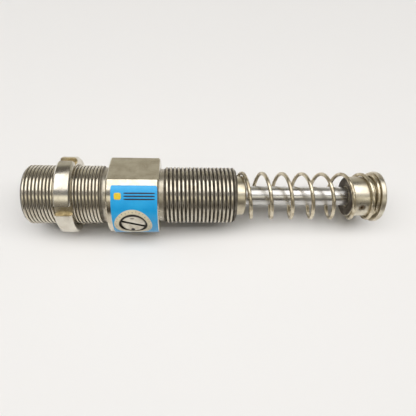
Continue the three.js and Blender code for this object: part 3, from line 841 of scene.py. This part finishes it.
def make_dial():
    """The dial made about X, from the foot of its stem to its slotted face, and then stood up."""
    foot = 10.35
    stem_r = 2
    groove_start = 12.1
    groove_end = 13.1
    groove_r = 1.3
    plate = POCKET_FLOOR + 0.1
    plate_top = plate + 0.8
    plate_r = 5.7
    profile = [
        (foot, 0),
        (foot, stem_r),
        (groove_start, stem_r),
        (groove_start, groove_r),
        (groove_end, groove_r),
        (groove_end, stem_r),
        (plate, stem_r),
        (plate, plate_r),
        (plate_top, plate_r),
        (plate_top, DIAL_R),
        (DIAL_TOP, DIAL_R),
        (DIAL_TOP, 0),
    ]
    dial = thing_from("adjuster_dial_detail", turned(profile, 0.14, False, 128))
    pin, faces = turned([(8, 0), (8, 0.9), (11, 0.9), (11, 0)], 0.1, False, 32)
    combine(dial, (pin + [0, 0, -1.2], faces), "UNION")
    half = DIAL_SLOT / 2
    slot = turn_about_x(brick((DIAL_TOP - 1, -8, -half), (DIAL_TOP + 1, 8, half)), -DIAL_SLOT_TILT)
    combine(dial, slot, "DIFFERENCE")
    bevel(dial, 0.07)
    place_out(dial, DIAL_ELEVATION, dial_x)
    dial.data.materials.append(dial_steel)
    dial.data.materials.append(black_oxide_and_shade)
    out = outward(DIAL_ELEVATION)
    # Painted shade: the slot's walls and floor and the dial's side down in the pocket take the near-black
    # material.
    for face in dial.data.polygons:
        height = out.dot(face.center) / MM
        if 15.5 < height < DIAL_TOP - 0.1:
            face.material_index = 1
    register(dial, "adjuster", "dial")


def place_out(thing, elevation, x):
    """Stands a mesh that was made about X up at an elevation, as pointed_out does for a shape."""
    out = outward(elevation)
    along = Vector((1, 0, 0))
    turn = Matrix((out, along, out.cross(along))).transposed().to_4x4()
    thing.data.transform(Matrix.Translation((x * MM, 0, 0)) @ turn)


def make_retaining_ring():
    """A spring ring of rounded section, open on one side."""
    low, high = 16.0, 16.5
    inner, outer = DIAL_R + 0.1, POCKET_R - 0.05
    section = rounded([(low, inner), (low, outer), (high, outer), (high, inner)], 0.12, True)
    degrees = np.linspace(-79, 259, 120)
    rows = [wrap(x, radius, degrees) for x, radius in section]
    stations = np.stack(rows, axis=1)
    count = len(section)
    faces = [tuple(range(count)), tuple(reversed(range(len(degrees) * count - count, len(degrees) * count)))]
    for k in range(len(degrees) - 1):
        for i in range(count):
            j = (i + 1) % count
            faces.append((k * count + i, (k + 1) * count + i, (k + 1) * count + j, k * count + j))
    ring = thing_from("adjuster_retaining_ring_detail", (stations.reshape(-1, 3), faces))
    place_out(ring, DIAL_ELEVATION, dial_x)
    register(ring, "cylinder", "dark_steel", black_oxide_and_shade)


# ---------------------------------------------------------------- ends of the cylinder


def make_rear_plug():
    """A plug with a groove for its O-ring, a seat for the fill ball and two spanner holes."""
    outer = BORE_R - SEAL_FIT
    spigot_r = 5.9
    screw_hole_r = FILL_SCREW_R + 0.1
    seat_r = 1.2
    seat = plug_front - 2.5
    plug = thing_from("rear_plug_detail", turned([
        (plug_rear, screw_hole_r + 0.3),
        (plug_rear, outer - 0.6),
        (plug_rear + 0.6, outer),
        (PLUG_GROOVE[0], outer),
        (PLUG_GROOVE[0], O_RING_GROOVE_R),
        (PLUG_GROOVE[1], O_RING_GROOVE_R),
        (PLUG_GROOVE[1], outer),
        (plug_front - 1, outer),
        (plug_front - 1, spigot_r),
        (plug_front, spigot_r),
        (plug_front, seat_r),
        (seat, seat_r),
        (seat, screw_hole_r),
        (plug_rear + 0.3, screw_hole_r),
    ], 0.1))
    outside = plug_rear - 4
    hole_end = plug_rear + 3
    for side in (-1, 1):
        hole, faces = turned([
            (outside, 0), (outside, SPANNER_HOLE_R), (hole_end, SPANNER_HOLE_R), (hole_end + 0.6, 0),
        ], 0, False, 48)
        combine(plug, (hole + [0, 6.2 * side, 0], faces), "DIFFERENCE")
    bevel(plug, 0.12)
    register(plug, "cylinder", "machined_steel", plug_steel)


def make_fill_screw():
    start = plug_rear + 0.6
    end = start + 3.5
    screw = thing_from("fill_screw_detail", turned([
        (start, 0), (start, FILL_SCREW_R - 0.3), (start + 0.3, FILL_SCREW_R), (end, FILL_SCREW_R), (end, 0),
    ], 0.1, False, 64))
    key_r = 1.443  # corner radius of a 2.5 mm hexagon key
    socket = turned([(start - 1, 0), (start - 1, key_r), (start + 2, key_r), (start + 2.4, 0)], 0, False, 6)
    combine(screw, socket, "DIFFERENCE")
    bevel(screw, 0.05)
    register(screw, "cylinder", "dark_steel", black_oxide_and_shade)


def make_gland():
    """The front closure, with seats for the bush, the seal and the wiper."""
    outer = BORE_R - SEAL_FIT
    nose_r = 9.25
    guide_r = ROD_R + 0.3
    bush_seat_r = 6.1
    bush_end = 5.3
    seal_seat_r = 7.1
    seal_start = 6.3
    seal_end = 10.7
    wiper_seat_r = 7
    wiper_start = 12.4
    gland = thing_from("gland_detail", turned([
        (gland_rear, bush_seat_r),
        (gland_rear, outer),
        (GLAND_GROOVE[0], outer),
        (GLAND_GROOVE[0], O_RING_GROOVE_R),
        (GLAND_GROOVE[1], O_RING_GROOVE_R),
        (GLAND_GROOVE[1], outer),
        (body_front, outer),
        (body_front, nose_r),
        (nose_face - 0.5, nose_r),
        (nose_face, nose_r - 0.5),
        (nose_face, wiper_seat_r),
        (wiper_start, wiper_seat_r),
        (wiper_start, guide_r),
        (seal_end, guide_r),
        (seal_end, seal_seat_r),
        (seal_start, seal_seat_r),
        (seal_start, guide_r),
        (bush_end, guide_r),
        (bush_end, bush_seat_r),
    ], 0.12))
    register(gland, "cylinder", "gland", gland_steel)


def make_wiper():
    start = 12.6
    outer = 6.9
    lip = nose_face - 0.4
    wiper = thing_from("rod_wiper_detail", turned([
        (start, 4.9),
        (start, outer),
        (nose_face - 1, outer),
        (nose_face - 0.8, 6.1),
        (lip, 5.1),
        (lip, ROD_R + 0.1),
    ], 0.15))
    register(wiper, "cylinder", "rubber", nitrile)


# ---------------------------------------------------------------- rod, cap and spring


def make_rod():
    shoulder = -5.4
    spigot_r = 2.5
    rod = thing_from("piston_rod_detail", turned([
        (rod_rear, 0),
        (rod_rear, spigot_r - 0.4),
        (rod_rear + 0.4, spigot_r),
        (shoulder, spigot_r),
        (shoulder, ROD_R),
        (rod_end - 0.6, ROD_R),
        (rod_end, ROD_R - 0.6),
        (rod_end, 0),
    ], 0.1, False))
    register(rod, "rod", "hard_chrome", rod_chrome)


def make_cap():
    """Skirt, flange and a crown that is flat in its middle and falls away towards its edge."""
    seat = rod_end + 0.2
    hole_r = ROD_R + 0.1
    flat_r = 7
    edge_x = crown - 1.8
    edge_r = FLANGE_R - 0.5
    profile = [
        (seat, 0),
        (seat, hole_r),
        (cap_rim + 0.8, hole_r),
        (cap_rim, hole_r + 0.8),
        (cap_rim, SKIRT_R - 0.5),
        (cap_rim + 0.5, SKIRT_R),
        (cap_flange, SKIRT_R),
        (cap_flange, FLANGE_R - 0.3),
        (cap_flange + 0.3, FLANGE_R),
        (edge_x - 0.5, FLANGE_R),
        (edge_x - 0.15, FLANGE_R - 0.15),
    ]
    for share in np.linspace(0, 1, 9):
        rise = 1 - (1 - share) ** 2
        profile.append((edge_x + (crown - edge_x) * rise, edge_r + share * (flat_r - edge_r)))
    profile.append((crown, 0))
    cap = thing_from("cap_detail", turned(profile, 0.15, False))
    screw_hole_r = 1.55
    outside = SKIRT_R + 0.6
    hole = turned([
        (0, 0), (0, screw_hole_r), (SKIRT_R - 0.22, screw_hole_r), (outside, 2.2), (outside, 0),
    ], 0, False, 48)
    combine(cap, pointed_out(hole, SCREW_ELEVATION, screw_x), "DIFFERENCE")
    register(cap, "rod", "cap", cap_steel)


def make_cap_screw():
    point = 4.75
    head = 9.15
    screw_r = 1.45
    key_r = 0.866  # corner radius of a 1.5 mm hexagon key
    screw = thing_from("cap_set_screw_detail", turned([
        (point, 0),
        (point, screw_r - 0.25),
        (point + 0.25, screw_r),
        (head - 0.2, screw_r),
        (head, screw_r - 0.2),
        (head, 0),
    ], 0.08, False, 48))
    socket = turned([(head - 1.5, 0), (head - 1.5, key_r), (10, key_r), (10, 0)], 0, False, 6)
    combine(screw, socket, "DIFFERENCE")
    bevel(screw, 0.04)
    place_out(screw, SCREW_ELEVATION, screw_x)
    register(screw, "rod", "dark_steel", screw_steel)


SPRING_R = 10.6
WIRE_R = 0.875
SPRING_PITCH = 9.7
OPEN_TURNS = 6.2
FLAT_TURNS = 0.35  # the last part of the wire lies on the cap's flange
SPRING_STEPS = 440
SPRING_START = 240  # elevation of the wire's rear end


def make_spring():
    """A round wire on a helix; its pitch falls evenly to nothing at the cap's flange."""
    gap = WIRE_R + 0.05
    first = body_front + gap
    end_length = cap_flange - gap - first - OPEN_TURNS * SPRING_PITCH
    end_turns = 2 * end_length / SPRING_PITCH
    turns = np.linspace(0, OPEN_TURNS + end_turns + FLAT_TURNS, SPRING_STEPS)
    closing = np.clip(turns - OPEN_TURNS, 0, end_turns)
    advance = np.minimum(turns, OPEN_TURNS) + closing - closing**2 / (2 * end_turns)
    x = first + SPRING_PITCH * advance
    angle = np.radians(SPRING_START) - 2 * math.pi * turns
    middle = np.stack([x, -SPRING_R * np.cos(angle), SPRING_R * np.sin(angle)], axis=-1)
    forward = np.gradient(middle, axis=0)
    forward /= np.linalg.norm(forward, axis=1)[:, None]
    out = np.stack([0 * x, -np.cos(angle), np.sin(angle)], axis=-1)
    side = np.cross(forward, out)
    out = np.cross(side, forward)
    around = np.radians(np.arange(0, 360, 360 / 18))[None, :, None]
    offsets = WIRE_R * (np.cos(around) * out[:, None] + np.sin(around) * side[:, None])
    stations = [0, *range(SPRING_STEPS), SPRING_STEPS - 1]
    swell = [0.85] + [1.0] * SPRING_STEPS + [0.85]
    rings = [middle[k] + share * offsets[k] for k, share in zip(stations, swell)]
    rings = [np.broadcast_to(middle[0], rings[0].shape), *rings, np.broadcast_to(middle[-1], rings[0].shape)]
    spring = thing_from("return_spring_detail", skin(rings))
    register(spring, "cylinder", "spring", spring_steel)
    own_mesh(spring)


def finish_inner_parts():
    """Materials for the CAD nodes that stay as they are, inside the cylinder."""
    finishes = {
        "adjuster_o_ring": nitrile,
        "metering_sleeve": inner_steel,
        "pressure_tube": inner_steel,
        "accumulator_foam": foam,
        "rear_plug_o_ring": nitrile,
        "fill_seal_ball": inner_steel,
        "gland_o_ring": nitrile,
        "rod_bush": bronze,
        "rod_seal": polyurethane,
        "piston": inner_steel,
        "piston_ring": brown_plastic,
        "check_ring": inner_steel,
        "piston_nut": inner_steel,
    }
    for node, material in finishes.items():
        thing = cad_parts[node]
        thing.data.materials.clear()
        thing.data.materials.append(material)


# ---------------------------------------------------------------- camera, light and floor

CAMERA_ELEVATION = 62
CAMERA_DISTANCE = 183.06
CAMERA_X = -13.51
CAMERA_YAW = 3.951
CAMERA_PITCH = -1.903
CAMERA_ROLL = 0.364
FOCAL_SHARE = 0.924  # focal length over the width of the picture


def link(name, data):
    thing = bpy.data.objects.new(name, data)
    bpy.context.scene.collection.objects.link(thing)
    return thing


def facing_axis(elevation):
    """A turn whose local Z axis points away from the cylinder and whose local X axis is X."""
    back = outward(elevation)
    right = Vector((1, 0, 0))
    return Matrix((right, back.cross(right), back)).transposed()


def add_camera():
    data = bpy.data.cameras.new("camera")
    data.sensor_width = 36
    data.lens = FOCAL_SHARE * data.sensor_width
    data.clip_start = 0.01
    camera = link("camera", data)
    turn = (
        Matrix.Rotation(math.radians(-CAMERA_YAW), 3, "Y")
        @ Matrix.Rotation(math.radians(CAMERA_PITCH), 3, "X")
        @ Matrix.Rotation(math.radians(CAMERA_ROLL), 3, "Z")
    )
    spot = Vector((CAMERA_X, 0, 0)) + outward(CAMERA_ELEVATION) * CAMERA_DISTANCE
    camera.matrix_world = Matrix.Translation(spot * MM) @ (facing_axis(CAMERA_ELEVATION) @ turn).to_4x4()
    bpy.context.scene.camera = camera


def add_area_light(name, elevation, distance, length, width, power, colour):
    """A soft rectangular light that looks at the cylinder; its sizes are in metres. Returns the light."""
    data = bpy.data.lights.new(name, "AREA")
    data.shape = "RECTANGLE"
    data.size = length
    data.size_y = width
    data.energy = power
    data.color = colour
    light = link(name, data)
    place = Matrix.Translation(outward(elevation) * distance)
    light.matrix_world = place @ facing_axis(elevation).to_4x4()
    return light


def add_lights():
    """A softbox makes the highlights; a strip light and a wide one make the shadows and light the floor."""
    softbox = add_area_light("softbox", 100.5, 1.0, 2.4, 0.9, 13.0, (1, 0.985, 0.96))
    softbox.visible_diffuse = False
    strip = add_area_light("strip", 86, 1.2, 3.0, 0.6, 22.5, (1, 0.99, 0.985))
    strip.visible_glossy = False
    fill = add_area_light("fill", 84, 1.2, 3.0, 3.0, 7.5, (1, 0.99, 0.985))
    fill.visible_glossy = False


ROOM = (  # what the room shows at each elevation around the axis
    (-180, (0.50, 0.48, 0.43)),
    (-2, (0.75, 0.72, 0.66)),
    (4, (0.06, 0.05, 0.04)),
    (22, (0.07, 0.06, 0.05)),
    (26, (0.28, 0.26, 0.22)),
    (40, (0.32, 0.30, 0.26)),
    (45, (1.15, 1.10, 0.94)),
    (56, (1.15, 1.10, 0.94)),
    (60, (0.22, 0.22, 0.22)),
    (80, (0.26, 0.26, 0.27)),
    (126, (0.30, 0.30, 0.30)),
    (132, (0.10, 0.09, 0.08)),
    (152, (0.14, 0.13, 0.11)),
    (160, (0.50, 0.48, 0.41)),
    (178, (0.50, 0.48, 0.41)),
    (180, (0.50, 0.48, 0.43)),
)


def add_room():
    """A plain room: one colour for each elevation, darker towards both ends of the cylinder."""
    world = bpy.data.worlds.new("room")
    bpy.context.scene.world = world
    world.cycles_visibility.diffuse = False
    world.use_nodes = True
    nodes, links = world.node_tree.nodes, world.node_tree.links
    nodes.clear()

    def math_node(operation, first, second=0.0):
        new = nodes.new("ShaderNodeMath")
        new.operation = operation
        for socket, value in zip(new.inputs, (first, second)):
            if isinstance(value, bpy.types.NodeSocket):
                links.new(value, socket)
            else:
                socket.default_value = value
        return new.outputs[0]

    split = nodes.new("ShaderNodeSeparateXYZ")
    links.new(nodes.new("ShaderNodeTexCoord").outputs["Generated"], split.inputs[0])
    x, y, z = split.outputs
    angle = math_node("ARCTAN2", z, math_node("MULTIPLY", y, -1.0))
    share = math_node("ADD", math_node("DIVIDE", angle, 2 * math.pi), 0.5)
    ramp = nodes.new("ShaderNodeValToRGB")
    links.new(share, ramp.inputs[0])
    stops = ramp.color_ramp.elements
    while len(stops) < len(ROOM):
        stops.new(1.0)
    for stop, (elevation, colour) in zip(stops, ROOM):
        stop.position = (elevation + 180) / 360
        stop.color = (*colour, 1)
    ends = nodes.new("ShaderNodeMapRange")
    links.new(math_node("ABSOLUTE", x), ends.inputs["Value"])
    ends.inputs["From Min"].default_value = 0.72
    ends.inputs["From Max"].default_value = 0.95
    fade = nodes.new("ShaderNodeMix")
    fade.data_type = "RGBA"
    links.new(ends.outputs[0], fade.inputs[0])
    links.new(ramp.outputs[0], fade.inputs[6])
    fade.inputs[7].default_value = (0.12, 0.11, 0.09, 1)
    background = nodes.new("ShaderNodeBackground")
    links.new(fade.outputs[2], background.inputs["Color"])
    links.new(background.outputs[0], nodes.new("ShaderNodeOutputWorld").inputs["Surface"])


def add_floor():
    """A plain pale table that the cylinder lies on."""
    half = 3.0
    z = cad_box[0][2]
    mesh = bpy.data.meshes.new("floor")
    corners = [(-half, -half, z), (half, -half, z), (half, half, z), (-half, half, z)]
    mesh.from_pydata(corners, [], [(0, 1, 2, 3)])
    floor = link("floor", mesh)
    material = bpy.data.materials.new("pale_table")
    material.use_nodes = True
    shader = material.node_tree.nodes["Principled BSDF"]
    shader.inputs["Base Color"].default_value = (0.84, 0.83, 0.81, 1)
    shader.inputs["Roughness"].default_value = 0.6
    mesh.materials.append(material)


add_camera()
add_room()
add_floor()
add_lights()
bpy.context.scene.view_settings.view_transform = "Standard"

make_body()
make_label()
make_nut()
make_dial()
make_retaining_ring()
make_rear_plug()
make_fill_screw()
make_gland()
make_wiper()
make_rod()
make_cap()
make_cap_screw()
make_spring()
finish_inner_parts()
